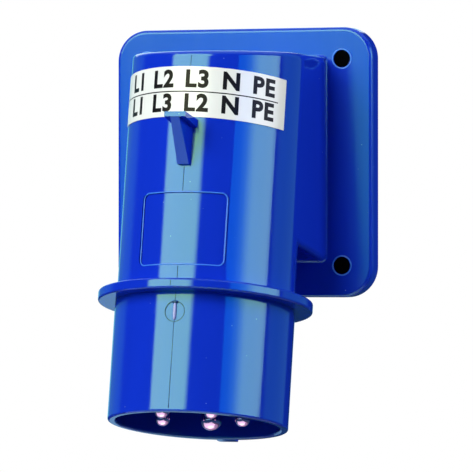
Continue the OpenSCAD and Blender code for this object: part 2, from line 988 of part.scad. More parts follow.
// Leaf spring: its flat middle meets the turning pin and its two ends meet the terminal's foot
module contact_leaf() {
    low = contact_z + contact_gap;
    high = base_z - leaf_t;
    rise = leaf_end - leaf_seat;
    rotate([90, 0, 90])
        translate([0, 0, -leaf_w / 2])
            linear_extrude(leaf_w)
                polygon([
                    [-leaf_end, high],
                    [-rise, high],
                    [-leaf_flat, low],
                    [leaf_flat, low],
                    [rise, high],
                    [leaf_end, high],
                    [leaf_end, high + leaf_t],
                    [rise, high + leaf_t],
                    [leaf_flat, low + leaf_t],
                    [-leaf_flat, low + leaf_t],
                    [-rise, high + leaf_t],
                    [-leaf_end, high + leaf_t]
                ]);
}

module contact_spring_2() {
    color(bronze)
        plug_frame()
            translate([disc_pin_off, -disc_off, 0])
                contact_leaf();
}

module contact_spring_3() {
    color(bronze)
        plug_frame()
            translate([-disc_pin_off, -disc_off, 0])
                contact_leaf();
}

// Screw with a slotted head: the head's lower face is at z = 0 and the shank runs down
module slotted_screw(r, len) {
    difference() {
        union() {
            cylinder(r = screw_head_r, h = screw_head_h);
            translate([0, 0, -len])
                cylinder(r = r, h = len);
        }
        translate([-screw_head_d / 2 - merge, -screw_slot_w / 2, screw_head_h - screw_slot_depth])
            cube([screw_head_d + 2 * merge, screw_slot_w, screw_head_h]);
    }
}

// Clamp screw in the side of a terminal
module clamp_screw(r) {
    translate([0, -r - clamp_stand, clamp_z])
        rotate([90, 0, 0])
            slotted_screw(clamp_r, clamp_depth + clamp_stand);
}

module terminal_screws() {
    color(steel)
        plug_frame() {
            for (a = [phase_1_at, phase_2_at, phase_3_at, neutral_at])
                at_angle(a, pin_circle_r)
                    clamp_screw(terminal_r);
            at_angle(earth_at, earth_off)
                clamp_screw(earth_terminal_r);
        }
}

// Screws from below that hold the insert to the housing's bosses
module carrier_screws() {
    color(steel)
        plug_frame()
            for (side = [-1, 1])
                at_angle(side * carrier_screw_angle, carrier_screw_off)
                    translate([0, 0, screw_head_h])
                        mirror([0, 0, 1])
                            slotted_screw(screw_r, carrier_screw_end - screw_head_h);
}

// Screws from above that hold the terminal carrier to the contact carrier
module joint_screws() {
    color(steel)
        plug_frame()
            for (side = [-1, 1])
                at_angle(side * joint_screw_angle, joint_screw_off)
                    translate([0, 0, base_top])
                        slotted_screw(screw_r, base_top - joint_screw_end);
}

housing();
label();
panel_seal();
contact_carrier();
terminal_carrier();
inverter_disc();
spring_washer();
earth_pin();
neutral_pin();
phase_pin_1();
phase_pin_2();
phase_pin_3();
phase_terminal_2();
phase_terminal_3();
contact_spring_2();
contact_spring_3();
terminal_screws();
carrier_screws();
joint_screws();
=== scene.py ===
"""Looks of an angled appliance inlet with a phase inverter.

Finishes, label print, mould marks, studio and camera.
"""

import json
import math

import bmesh
import bpy
import numpy as np
from bpy.props import FloatProperty, FloatVectorProperty, PointerProperty, StringProperty
from bpy.types import Operator, Panel, PropertyGroup
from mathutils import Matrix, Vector


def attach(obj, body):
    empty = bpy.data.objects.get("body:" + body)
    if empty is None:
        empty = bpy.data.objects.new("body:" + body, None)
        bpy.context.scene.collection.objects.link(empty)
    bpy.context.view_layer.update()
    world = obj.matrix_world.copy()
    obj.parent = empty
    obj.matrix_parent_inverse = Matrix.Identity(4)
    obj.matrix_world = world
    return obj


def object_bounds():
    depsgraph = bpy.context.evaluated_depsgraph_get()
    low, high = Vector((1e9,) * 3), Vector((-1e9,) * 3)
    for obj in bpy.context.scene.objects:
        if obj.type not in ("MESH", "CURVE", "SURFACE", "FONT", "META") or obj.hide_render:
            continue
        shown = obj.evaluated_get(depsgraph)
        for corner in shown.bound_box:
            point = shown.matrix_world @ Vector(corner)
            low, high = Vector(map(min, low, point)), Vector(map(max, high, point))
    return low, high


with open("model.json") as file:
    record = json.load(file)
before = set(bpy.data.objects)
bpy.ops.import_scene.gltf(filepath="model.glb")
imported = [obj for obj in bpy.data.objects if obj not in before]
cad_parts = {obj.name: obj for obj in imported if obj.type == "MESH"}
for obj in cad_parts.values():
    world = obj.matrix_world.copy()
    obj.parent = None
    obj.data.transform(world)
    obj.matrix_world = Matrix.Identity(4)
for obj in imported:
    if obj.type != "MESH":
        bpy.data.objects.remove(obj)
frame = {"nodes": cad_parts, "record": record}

bl_info = {
    "name": "Appliance inlet looks",
    "version": (1, 0, 0),
    "blender": (4, 5, 0),
    "location": "3D View > Sidebar > Inlet",
    "description": "Finishes, print, mould marks and studio for an angled appliance inlet",
    "category": "Object",
}

CAD_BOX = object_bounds()
NODES = frame["nodes"]
MOUNTS = {mount["name"]: mount for mount in frame["record"]["mounts"]}

MM = 0.001
WHITE = (1.0, 1.0, 1.0)
# Points of a new piece that lie closer than this are one point
SAME_PLACE = 0.0001 * MM

# Plug frame: heights are measured up the plug axis from the collar's rim, angles from the front towards +X
PLUG_FACE = np.array(MOUNTS["plug_face"]["pos_m"])
PLUG_UP = -np.array(MOUNTS["plug_face"]["axis"])
PLUG_SIDE = np.array((1.0, 0.0, 0.0))
PLUG_BACK = np.cross(PLUG_UP, PLUG_SIDE)
PLUG_TILT = math.atan2(PLUG_UP[1], PLUG_UP[2])


def plug_points(angle, radius, height):
    """Points at an angle round the plug axis, a radius from it and a height above the rim."""
    angle, radius, height = np.broadcast_arrays(angle, radius, height)
    side = (radius * np.sin(angle))[..., None] * PLUG_SIDE
    back = (-radius * np.cos(angle))[..., None] * PLUG_BACK
    return PLUG_FACE + side + back + height[..., None] * PLUG_UP


def plug_measures(node):
    """Angle, radius, height and sideways place of each of a CAD node's vertices in the plug frame."""
    mesh = NODES[node].data
    flat = np.empty(3 * len(mesh.vertices))
    mesh.vertices.foreach_get("co", flat)
    away = flat.reshape(-1, 3) - PLUG_FACE
    side, back, height = away @ PLUG_SIDE, away @ PLUG_BACK, away @ PLUG_UP
    return np.arctan2(side, -back), np.hypot(side, back), height, side


def turns(count):
    """Angles of a number of even steps round a circle."""
    return np.linspace(0, 2 * np.pi, count, endpoint=False)


def grid_faces(rows, columns):
    """Quads between neighbouring points of a grid whose points are numbered row by row."""
    corner = np.arange(rows - 1)[:, None] * columns + np.arange(columns - 1)
    quads = np.stack((corner, corner + 1, corner + columns + 1, corner + columns), axis=-1)
    return quads.reshape(-1, 4)


def loop_faces(stations, section, closed, start=0):
    """Quads between the same points of neighbouring closed sections along a path.

    Points are numbered section by section. A closed path runs on from its last section to its first,
    and an open one has a face over each end.
    """
    here = np.arange(stations if closed else stations - 1)[:, None] * section
    there = (here + section) % (stations * section)
    point = np.arange(section)
    after = (point + 1) % section
    corners = (here + point, here + after, there + after, there + point)
    faces = (start + np.stack(corners, axis=-1).reshape(-1, 4)).tolist()
    if not closed:
        faces += [(start + point[::-1]).tolist(), (start + point + (stations - 1) * section).tolist()]
    return faces


# Points along each side of a rounded outline, and inside each of its corners
SIDE_POINTS = 40
CORNER_POINTS = 8


def rounded_outline(width, height, corner):
    """Points of a rounded rectangle about the middle, and its outward normals.

    Each side is a straight run followed by a quarter circle, and the next side is turned by a right angle.
    """
    points, normals = [], []
    halves = (width / 2, height / 2, width / 2, height / 2)
    for number, reach in enumerate(halves):
        start = number * np.pi / 2
        out = np.array((np.cos(start), np.sin(start)))
        along = np.array((-out[1], out[0]))
        run = halves[number - 1] - corner
        turn = np.linspace(start, start + np.pi / 2, CORNER_POINTS + 2)[1:-1, None]
        arc = np.hstack((np.cos(turn), np.sin(turn)))
        points += [out * reach + np.linspace(-run, run, SIDE_POINTS)[:, None] * along]
        points += [out * (reach - corner) + along * run + arc * corner]
        normals += [np.tile(out, (SIDE_POINTS, 1)), arc]
    return np.vstack(points), np.vstack(normals)


# Points round a bead's section
BEAD_POINTS = 12


def bead_on_wall(points, normals, radius, middle, width, height):
    """Closed bead along a closed outline that is bent round the plug axis at a radius.

    The outline's x becomes an arc and its y a height. The bead's section is an ellipse, width across
    the outline and height out of the wall.
    """
    turn = turns(BEAD_POINTS)
    spot = points[:, None, :] + width / 2 * np.cos(turn)[:, None] * normals[:, None, :]
    out = np.broadcast_to(height * np.sin(turn), spot.shape[:2])
    bead = plug_points(spot[..., 0] / radius, radius + out, middle + spot[..., 1])
    return bead, loop_faces(len(points), BEAD_POINTS, True)


def add_piece(name, points, faces, finish, body, slot, smooth=True):
    """Puts points and faces into a closed mesh at the origin, faces outward, and has it ride on a body."""
    mesh = bpy.data.meshes.new(name)
    mesh.from_pydata(np.reshape(points, (-1, 3)).tolist(), [], [list(face) for face in faces])
    shape = bmesh.new()
    shape.from_mesh(mesh)
    bmesh.ops.remove_doubles(shape, verts=shape.verts, dist=SAME_PLACE)
    bmesh.ops.recalc_face_normals(shape, faces=shape.faces)
    shape.to_mesh(mesh)
    shape.free()
    mesh.materials.append(finish)
    if smooth:
        mesh.shade_smooth()
    else:
        mesh.shade_flat()
    mesh.validate()
    piece = bpy.data.objects.new(name, mesh)
    bpy.context.scene.collection.objects.link(piece)
    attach(piece, body)


# Gap between letters, as a share of the font's own
LETTER_SPACE = 1.12
# Steps in each curve of a letter
LETTER_STEPS = 4
# Bands that letters are cut into, in a stretch as wide as the font's size
LETTER_BANDS = 8
# Points of a letter that lie closer than this are one point
LETTER_SAME_PLACE = 0.002 * MM


def flat_text(words, size, weight, depth, spread=1.0):
    """Centred words as a flat closed mesh, cut into narrow upright bands so that they can be bent.

    weight thickens the strokes, depth is half the thickness and spread widens the gaps between words.
    """
    curve = bpy.data.curves.new("words", "FONT")
    curve.body = words
    curve.align_x = "CENTER"
    curve.align_y = "CENTER"
    curve.size = size
    curve.offset = weight
    curve.extrude = depth
    curve.space_word = spread
    curve.space_character = LETTER_SPACE
    curve.resolution_u = LETTER_STEPS
    carrier = bpy.data.objects.new("words", curve)
    bpy.context.scene.collection.objects.link(carrier)
    graph = bpy.context.evaluated_depsgraph_get()
    mesh = bpy.data.meshes.new_from_object(carrier.evaluated_get(graph))
    bpy.data.objects.remove(carrier)
    bpy.data.curves.remove(curve)
    shape = bmesh.new()
    shape.from_mesh(mesh)
    bpy.data.meshes.remove(mesh)
    bmesh.ops.remove_doubles(shape, verts=shape.verts, dist=LETTER_SAME_PLACE)
    places = [vert.co.x for vert in shape.verts]
    for cut in np.arange(min(places), max(places), size / LETTER_BANDS):
        whole = shape.verts[:] + shape.edges[:] + shape.faces[:]
        bmesh.ops.bisect_plane(shape, geom=whole, plane_co=(cut, 0, 0), plane_no=(1, 0, 0))
    shape.verts.index_update()
    points = np.array([vert.co[:] for vert in shape.verts])
    faces = [[vert.index for vert in face.verts] for face in shape.faces]
    shape.free()
    return points, faces


class Nodes:
    """A node tree, and short calls for the nodes in it."""

    # A Mix node's sockets for colours: the two that it takes and the one that it gives
    MIX_FIRST = 6
    MIX_SECOND = 7
    MIX_RESULT = 2
    # Where a ramp's new marks lie until they get their places
    NEW_MARK = 0.5

    def __init__(self, tree):
        self.tree = tree

    def add(self, kind, inputs=None, **settings):
        """A node with its settings, and its inputs set to values or linked to other nodes' outputs."""
        node = self.tree.nodes.new(kind)
        for name, value in settings.items():
            setattr(node, name, value)
        for socket, value in (inputs or {}).items():
            if isinstance(value, bpy.types.NodeSocket):
                self.tree.links.new(value, node.inputs[socket])
            else:
                node.inputs[socket].default_value = value
        return node

    def axes(self, vector):
        """X, Y and Z of a vector."""
        return self.add("ShaderNodeSeparateXYZ", {"Vector": vector}).outputs

    def combine(self, operation, first, second):
        """Number that an operation makes of two numbers or outputs."""
        return self.add("ShaderNodeMath", {0: first, 1: second}, operation=operation).outputs["Value"]

    def spread(self, value, low, high, to_low=0.0, to_high=1.0):
        """Values from low to high, stretched to another range and held at its ends."""
        inputs = {"Value": value, "From Min": low, "From Max": high, "To Min": to_low, "To Max": to_high}
        return self.add("ShaderNodeMapRange", inputs).outputs["Result"]

    def blend(self, factor, first, second):
        """Colour between two colours or colour outputs."""
        inputs = {"Factor": factor}
        for socket, value in ((self.MIX_FIRST, first), (self.MIX_SECOND, second)):
            linked = isinstance(value, bpy.types.NodeSocket)
            inputs[socket] = value if linked else (*value[:3], 1)
        return self.add("ShaderNodeMix", inputs, data_type="RGBA").outputs[self.MIX_RESULT]

    def ramp(self, position, stops):
        """Colour that a position picks from stops, each a place from 0 to 1 and a grey or a colour."""
        node = self.add("ShaderNodeValToRGB", {"Fac": position})
        marks = node.color_ramp.elements
        while len(marks) < len(stops):
            marks.new(self.NEW_MARK)
        for mark, (place, colour) in zip(marks, stops):
            mark.position = place
            mark.color = (*np.broadcast_to(colour, 3), 1)
        return node.outputs["Color"]


class Finish(Nodes):
    """A node material with one Principled shader, and short calls for the nodes that feed it.

    Constants set the shader's sockets by their names, with _ for a space.
    """

    # Range that most of a noise's values lie in
    NOISE_RANGE = (0.3, 0.7)
    # Share of a speck inside its soft edge
    SPECK_CORE = 0.6

    def __init__(self, name, **constants):
        self.material = bpy.data.materials.new(name)
        self.material.use_nodes = True
        super().__init__(self.material.node_tree)
        self.shader = self.tree.nodes["Principled BSDF"]
        for socket, value in constants.items():
            self.shader.inputs[socket.replace("_", " ")].default_value = value
        self.place = self.add("ShaderNodeTexCoord").outputs["Object"]

    def along_plug(self, scale):
        """Object coordinates turned so that z runs up the plug axis, and scaled."""
        turn = {"Vector": self.place, "Rotation": (PLUG_TILT, 0, 0), "Scale": scale}
        return self.add("ShaderNodeMapping", turn).outputs["Vector"]

    def noise(self, scale, detail=3, place=None):
        """Cloudy values between 0 and 1; scale is in waves per metre."""
        inputs = {"Vector": place or self.place, "Scale": scale, "Detail": detail}
        return self.add("ShaderNodeTexNoise", inputs).outputs["Fac"]

    def vary(self, noise, low, high):
        """A noise stretched so that most of its values run from low to high."""
        return self.spread(noise, *self.NOISE_RANGE, low, high)

    def specks(self, scale, size):
        """1 inside sparse round specks and 0 elsewhere.

        scale is in cells per metre, and size is a share of a cell.
        """
        cells = self.add("ShaderNodeTexVoronoi", {"Vector": self.place, "Scale": scale})
        return self.spread(cells.outputs["Distance"], self.SPECK_CORE * size, size, 1, 0)

    def bump(self, height, distance, strength, below=None):
        """A bump of a height map, on top of another bump if one is given."""
        inputs = {"Height": height, "Distance": distance, "Strength": strength}
        if below is not None:
            inputs["Normal"] = below
        return self.add("ShaderNodeBump", inputs).outputs["Normal"]

    def feed(self, socket, output):
        """Links an output to one of the shader's sockets."""
        self.tree.links.new(output, self.shader.inputs[socket])


def paint(finish, *nodes):
    """Gives CAD nodes a finish in each of their material slots."""
    for node in nodes:
        for slot in NODES[node].material_slots:
            slot.material = finish.material


def tone(colour, factor):
    """A colour made darker or lighter by a factor."""
    return tuple(min(1.0, channel * factor) for channel in colour)


def length_value(name, description, millimetres):
    """A length that a user can change, with its default given in millimetres."""
    return FloatProperty(name=name, description=description, default=millimetres * MM, unit="LENGTH")


def colour_value(name, description, default):
    """A colour that a user can change."""
    return FloatVectorProperty(name=name, description=description, default=default, subtype="COLOR")


class StudioValues(PropertyGroup):
    """Camera, lamps and floor."""

    camera_azimuth: FloatProperty(
        name="Camera azimuth", description="Camera's direction from the front towards +X",
        default=math.radians(18.617), subtype="ANGLE",
    )
    camera_elevation: FloatProperty(
        name="Camera elevation", description="Camera's height above the horizon",
        default=math.radians(-0.489), subtype="ANGLE",
    )
    camera_distance: FloatProperty(
        name="Camera distance", description="Distance from the point that the camera looks at",
        default=1.515, unit="LENGTH",
    )
    camera_target: FloatVectorProperty(
        name="Camera target", description="Point at the middle of the picture",
        default=(0.002097, -0.020, -0.023794), subtype="TRANSLATION",
    )
    camera_lens: FloatProperty(
        name="Lens", description="Focal length in millimetres", default=359.4, unit="CAMERA",
    )
    camera_sensor: FloatProperty(
        name="Sensor", description="Width of the sensor in millimetres", default=36.0, unit="CAMERA",
    )
    floor_drop: FloatProperty(
        name="Floor drop", description="Height of the floor below the inlet's lowest point",
        default=0.32, unit="LENGTH",
    )
    floor_radius: FloatProperty(
        name="Floor radius", description="Radius of the round floor", default=0.9, unit="LENGTH",
    )
    lamp_distance: FloatProperty(
        name="Lamp distance", description="Distance of a softbox from the inlet",
        default=1.3, unit="LENGTH",
    )
    ambient: FloatProperty(
        name="Ambient light", description="Strength of the soft sky", default=0.05, min=0,
    )


class FinishValues(PropertyGroup):
    """Colours of the finishes."""

    housing: colour_value("Housing", "Deep blue of the moulded housing", (0.005, 0.031, 0.56))
    gloss_tint: colour_value("Gloss tint", "Tint of the housing's highlights", (0.42, 1.0, 0.42))
    dust: colour_value("Dust", "Pale specks on the housing", (0.16, 0.26, 0.64))
    scar: colour_value("Gate scar", "Plastic whitened where the sprue broke off", (0.42, 0.45, 0.82))
    label: colour_value("Label film", "Off-white of the label", (0.86, 0.88, 0.84))
    ink: colour_value("Ink", "Black of the label's print", (0.004, 0.004, 0.005))
    rubber: colour_value("Seal rubber", "Black of the panel seal", (0.018, 0.018, 0.019))
    # Painted shade: near-black skins set in the screw holes to darken them
    membrane: colour_value("Membranes", "Black of the skins in the screw holes", (0.0015, 0.0017, 0.002))
    insulator: colour_value("Contact carrier", "Near black of the contact carrier", (0.045, 0.047, 0.053))
    terminal_body: colour_value("Terminal carrier", "Dark grey of the rear carrier", (0.075, 0.077, 0.082))
    disc: colour_value("Inverter disc", "Grey of the turning disc", (0.24, 0.25, 0.27))
    contact: colour_value("Contacts", "Polished plating of the pins", (0.86, 0.56, 0.80))
    brass: colour_value("Terminals", "Turned brass of the terminals", (0.83, 0.62, 0.28))
    bronze: colour_value("Contact springs", "Rolled bronze strip", (0.70, 0.42, 0.22))
    spring: colour_value("Spring washer", "Blued spring steel", (0.42, 0.43, 0.47))
    screw: colour_value("Screws", "Zinc-plated steel", (0.66, 0.67, 0.70))


class PrintValues(PropertyGroup):
    """Words and sizes of the label's print."""

    upper_row: StringProperty(
        name="Upper row", description="Terminal order before the swap", default="L1 L2 L3 N PE",
    )
    lower_row: StringProperty(
        name="Lower row", description="Terminal order after the swap", default="L1 L3 L2 N PE",
    )
    letter_size: length_value("Letter size", "Font size of the print", 7.6)
    stroke: length_value("Stroke", "How much the strokes are thickened", 0.30)
    ink_depth: length_value("Ink depth", "How far the print stands out", 0.03)
    divider_width: length_value("Divider width", "Width of the line between the rows", 0.35)


class SeamValues(PropertyGroup):
    """Sizes of the mould seam down the front."""

    width: length_value("Width", "Width of the seam", 0.24)
    height: length_value("Height", "How far the seam stands out", 0.06)


class PanelValues(PropertyGroup):
    """Place of the name panel, and sizes of the bead round it."""

    width: length_value("Width", "Width of the panel", 28.8)
    height: length_value("Height", "Height of the panel", 23)
    corner: length_value("Corner", "Corner radius of the panel", 2)
    middle: length_value("Middle", "Height of the panel's centre above the rim", 57.9)
    wall_radius: length_value("Wall radius", "Outer radius of the body", 28.1)
    bead_width: length_value("Bead width", "Width of the bead", 0.42)
    bead_height: length_value("Bead height", "How far the bead stands out", 0.10)


class GateValues(PropertyGroup):
    """Place and sizes of the gate mark under the flange."""

    middle: length_value("Middle", "Height of the mark's centre above the rim", 31.4)
    wall_radius: length_value("Wall radius", "Outer radius of the collar", 28.5)
    ring_radius: length_value("Ring radius", "Radius of the ring", 3.2)
    bead_width: length_value("Bead width", "Width of the ring", 0.26)
    bead_height: length_value("Bead height", "How far the ring stands out", 0.06)
    stub_width: length_value("Stub width", "Width of the stub", 1.0)
    stub_length: length_value("Stub length", "Length of the stub", 5.4)
    stub_height: length_value("Stub height", "How far the stub stands out", 0.48)
    # Painted shade: the dark end of the stub
    shade_cap_width: length_value("Cap width", "Width of the dark end of the stub", 2.2)


class SealValues(PropertyGroup):
    """Sizes of the thin membranes, painted shade in the screw holes, and of the fine rim round each hole.
    """

    hole_radius: length_value("Hole radius", "Radius of a membrane", 2.85)
    depth: length_value("Depth", "Depth of a membrane under the plate's front", 0.6)
    rim_width: length_value("Rim width", "Width of a rim", 0.5)
    rim_height: length_value("Rim height", "How far a rim stands out", 0.08)
    plate: length_value("Plate", "Depth of the plate, from its mounting face to its front", 6.5)
    membrane: length_value("Membrane", "Thickness of a membrane", 0.4)
    dimple: length_value("Dimple", "Depth of the dimple that guides a screw", 0.3)


class InletLooks(PropertyGroup):
    """All values of the looks."""

    studio: PointerProperty(type=StudioValues)
    finish: PointerProperty(type=FinishValues)
    label_print: PointerProperty(type=PrintValues)
    seam: PointerProperty(type=SeamValues)
    panel: PointerProperty(type=PanelValues)
    gate: PointerProperty(type=GateValues)
    seal: PointerProperty(type=SealValues)


def looks():
    """The scene's values."""
    return bpy.context.scene.inlet_looks


def direction(azimuth, elevation):
    """Unit vector towards an azimuth, from the front towards +X, and an elevation."""
    level = math.cos(elevation)
    return Vector((math.sin(azimuth) * level, -math.cos(azimuth) * level, math.sin(elevation)))


def add_camera(studio):
    """Camera at the photograph's viewing angle."""
    data = bpy.data.cameras.new("camera")
    data.lens = studio.camera_lens
    data.sensor_width = studio.camera_sensor
    data.sensor_fit = "HORIZONTAL"
    camera = bpy.data.objects.new("camera", data)
    away = direction(studio.camera_azimuth, studio.camera_elevation)
    camera.location = Vector(studio.camera_target) + away * studio.camera_distance
    camera.rotation_euler = (-away).to_track_quat("-Z", "Y").to_euler()
    bpy.context.scene.collection.objects.link(camera)
    bpy.context.scene.camera = camera


def add_softbox(studio, name, azimuth, elevation, radiance, colour, near):
    """Rectangular lamp that spans a range of azimuths and elevations, given in degrees.

    Its width and height are what those ranges span on a flat face at the lamp's distance, and its power
    is its radiance times its area times pi. near brings it closer, as a share of the lamps' distance.
    """
    distance = near * studio.lamp_distance
    left, right = (math.radians(value) for value in azimuth)
    low, high = (math.radians(value) for value in elevation)
    data = bpy.data.lights.new(name, "AREA")
    data.shape = "RECTANGLE"
    data.size = 2 * distance * math.tan((right - left) / 2)
    data.size_y = 2 * distance * math.tan((high - low) / 2)
    data.energy = radiance * data.size * data.size_y * math.pi
    data.color = colour
    lamp = bpy.data.objects.new(name, data)
    away = direction((left + right) / 2, (low + high) / 2)
    lamp.location = Vector(studio.camera_target) + away * distance
    lamp.rotation_euler = (-away).to_track_quat("-Z", "Y").to_euler()
    lamp.visible_camera = False
    bpy.context.scene.collection.objects.link(lamp)
    return lamp


def shade_softbox(lamp, axis, stops):
    """Has a lamp's light change across its face, along X or Y.

    Each stop is a place, in degrees within the range that the lamp spans, and a share of its radiance,
    one for all colours or one each for red, green and blue.
    """
    lamp.data.use_nodes = True
    nodes = Nodes(lamp.data.node_tree)
    face = nodes.add("ShaderNodeNewGeometry").outputs["Parametric"]
    first, last = stops[0][0], stops[-1][0]
    shares = [((degrees - first) / (last - first), share) for degrees, share in stops]
    light = nodes.ramp(nodes.axes(face)[axis], shares)
    nodes.tree.links.new(light, nodes.tree.nodes["Emission"].inputs["Color"])


# Glow that gloss sees round the horizon: azimuth in degrees from the front towards +X, and strength
HORIZON_GLOW = (
    (-172, 0.02), (-164, 1.0), (-148, 0.8), (-140, 0.38), (-108, 0.36), (-98, 0.02),
    (109, 0.02), (114, 0.42), (154, 0.36), (160, 0.02),
)
GLOW_TINT = (0.25, 0.85, 1.0)
OVERHEAD_GLOW = 0.8
# Painted reflection that gloss sees on the floor, bright under the collar and dark further out: distance in
# metres from under the collar, and colour
FLOOR_PAINTED_REFLECTION = (
    (0.10, 0.86), (0.20, (0.30, 0.24, 0.34)), (0.34, (0.30, 0.24, 0.34)), (0.46, (0.04, 0.04, 0.07)),
    (0.75, (0.016, 0.06, 0.14)),
)
# Upward parts of a direction between which the floor's far colour turns into the horizon, the horizon into
# the glow overhead, and darkness into the soft sky
HORIZON_RISE = (-0.12, -0.04)
OVERHEAD_RISE = (0.6, 0.85)
SKY_RISE = (-0.3, 1.0)


def add_world(studio):
    """White background for the camera, a patchy horizon for gloss and a soft sky for the rest.

    The azimuth of a direction, taken as a share of a full turn, picks the glow from a ramp. The sky's
    light fades from full overhead to nothing a little below the horizon.
    """
    world = bpy.data.worlds.new("studio")
    bpy.context.scene.world = world
    world.use_nodes = True
    nodes = Nodes(world.node_tree)
    ray = nodes.add("ShaderNodeLightPath").outputs
    axes = nodes.axes(nodes.add("ShaderNodeTexCoord").outputs["Generated"])
    front = nodes.combine("MULTIPLY", axes["Y"], -1.0)
    azimuth = nodes.combine("ARCTAN2", axes["X"], front)
    glows = [((degrees + 180) / 360, tone(GLOW_TINT, strength)) for degrees, strength in HORIZON_GLOW]
    glow = nodes.ramp(nodes.spread(azimuth, -math.pi, math.pi), glows)
    round_about = nodes.blend(nodes.spread(axes["Z"], *HORIZON_RISE), FLOOR_PAINTED_REFLECTION[-1][1], glow)
    overhead = nodes.spread(axes["Z"], *OVERHEAD_RISE, to_high=OVERHEAD_GLOW)
    gloss = nodes.blend(overhead, round_about, WHITE)
    sky = nodes.spread(axes["Z"], *SKY_RISE, to_high=studio.ambient)
    shine = nodes.combine("MAXIMUM", ray["Is Glossy Ray"], ray["Is Transmission Ray"])
    lit = nodes.blend(shine, sky, gloss)
    seen = nodes.blend(ray["Is Camera Ray"], lit, WHITE)
    nodes.tree.links.new(seen, nodes.tree.nodes["Background"].inputs["Color"])


# Darkest and lightest grey of the floor
FLOOR_GREYS = ((0.84, 0.84, 0.84), (0.88, 0.88, 0.88))
# Circles of points on the floor, and points on each, the first and the last in one place
FLOOR_RINGS = 24
FLOOR_SPOKES = 97


def add_floor(studio):
    """Round pale floor, clear from below: rings of points on circles of growing radius, level all over."""
    height = CAD_BOX[0].z - studio.floor_drop
    radius = np.linspace(0, studio.floor_radius, FLOOR_RINGS)[:, None]
    turn = np.linspace(2 * np.pi, 0, FLOOR_SPOKES)
    level = np.full((FLOOR_RINGS, FLOOR_SPOKES), height)
    points = np.stack((radius * np.cos(turn), radius * np.sin(turn), level), axis=-1)
    mesh = bpy.data.meshes.new("floor")
    mesh.from_pydata(points.reshape(-1, 3).tolist(), [], grid_faces(FLOOR_RINGS, FLOOR_SPOKES).tolist())
    finish = Finish("floor_pale", Roughness=0.9, Specular_IOR_Level=0.1)
    pale = finish.blend(finish.noise(6), *FLOOR_GREYS)
    # Painted reflection: glossy rays see a bright patch of floor under the collar and a darker floor
    # further out
    mouth = (PLUG_FACE[0], PLUG_FACE[1], height)
    away = finish.add("ShaderNodeVectorMath", {0: finish.place, 1: mouth}, operation="DISTANCE")
    painted_reflection = finish.ramp(away.outputs["Value"], FLOOR_PAINTED_REFLECTION)
    gloss = finish.add("ShaderNodeLightPath").outputs["Is Glossy Ray"]
    finish.feed("Base Color", finish.blend(gloss, pale, painted_reflection))
    clear = finish.add("ShaderNodeBsdfTransparent").outputs["BSDF"]
    under = finish.add("ShaderNodeNewGeometry").outputs["Backfacing"]
    side = finish.add("ShaderNodeMixShader", {0: under, 1: finish.shader.outputs["BSDF"], 2: clear})
    surface = finish.tree.nodes["Material Output"].inputs["Surface"]
    finish.tree.links.new(side.outputs["Shader"], surface)
    mesh.materials.append(finish.material)
    floor = bpy.data.objects.new("floor", mesh)
    floor.visible_diffuse = False
    bpy.context.scene.collection.objects.link(floor)


class INLET_OT_stage(Operator):
    """Lays the floor and sets the lamps, the world and the camera"""

    bl_idname = "inlet.stage"
    bl_label = "Stage"

    # Each lamp's name, the azimuths and elevations that it spans in degrees, its radiance and colour, its
    # distance as a share of the lamps' own, and the rays that see it
    LAMPS = (
        ("softbox_key", (-42, -4), (8, 45), 8.2, WHITE, 1.0, "diffuse"),
        ("softbox_front", (-47, 4), (8, 45), 5.7, (1.0, 1.0, 0.5), 1.0, "glossy"),
        ("softbox_low", (-47, 4), (-3, 8), 1.5, (0.25, 0.95, 1.0), 1.0, "all"),
        ("softbox_right", (44, 104), (4.5, 28), 4.0, (0.9, 1.0, 1.65), 1.0, "glossy"),
        ("softbox_side", (72, 116), (0, 36), 4.4, WHITE, 1.0, "diffuse"),
        ("softbox_left", (-136, -94), (0, 36), 2.6, WHITE, 1.0, "diffuse"),
        ("softbox_back", (145, 215), (18, 55), 3.0, WHITE, 1.0, "diffuse"),
        ("softbox_rear", (188, 232), (15, 50), 1.2, WHITE, 1.0, "glossy"),
        ("softbox_haze", (204, 224), (-50, -20), 1.0, (0.27, 0.49, 0.76), 0.15, "glossy"),
        ("softbox_below", (-30, 30), (-85, -55), 1.2, WHITE, 0.25, "diffuse"),
        ("softbox_pins", (-66, 22), (-100, -38), 0.75, WHITE, 0.27, "glossy"),
    )
    # Lamps whose light changes across their face: the axis, then places in degrees and shares of the
    # radiance. The front lamp fades towards its sides, the low one brightens upwards, and the right one
    # turns from blue to pale away from the front.
    SHADES = {
        "softbox_front": ("X", ((-47, 0.0), (-43, 1.0), (-2, 1.0), (4, 0.0))),
        "softbox_low": ("Y", ((-3, 0.4), (0, 0.62), (2, 0.95), (8, 1.0))),
        "softbox_right": ("X", (
            (44, 0), (46.5, 0), (48, (0, 0.2, 0.85)), (56, (0.03, 0.24, 0.85)), (63, (0.2, 0.43, 0.85)),
            (69, (0.66, 0.77, 0.85)), (74, (1, 1, 0.85)), (97, (0.95, 0.95, 0.8)),
            (100, (0.75, 0.75, 0.65)), (104, (0.6, 0.6, 0.5)),
        )),
    }

    def execute(self, context):
        studio = looks().studio
        bpy.context.scene.view_settings.view_transform = "Standard"
        add_camera(studio)
        add_floor(studio)
        add_world(studio)
        for name, azimuth, elevation, radiance, colour, near, rays in self.LAMPS:
            lamp = add_softbox(studio, name, azimuth, elevation, radiance, colour, near)
            lamp.visible_diffuse = rays != "glossy"
            lamp.visible_glossy = rays != "diffuse"
            if name in self.SHADES:
                shade_softbox(lamp, *self.SHADES[name])
        return {"FINISHED"}


# How much rougher the plate is than the rest, and the depths between which the gloss turns satin
SATIN = 0.07
SATIN_DEPTHS = (-9 * MM, -7 * MM)


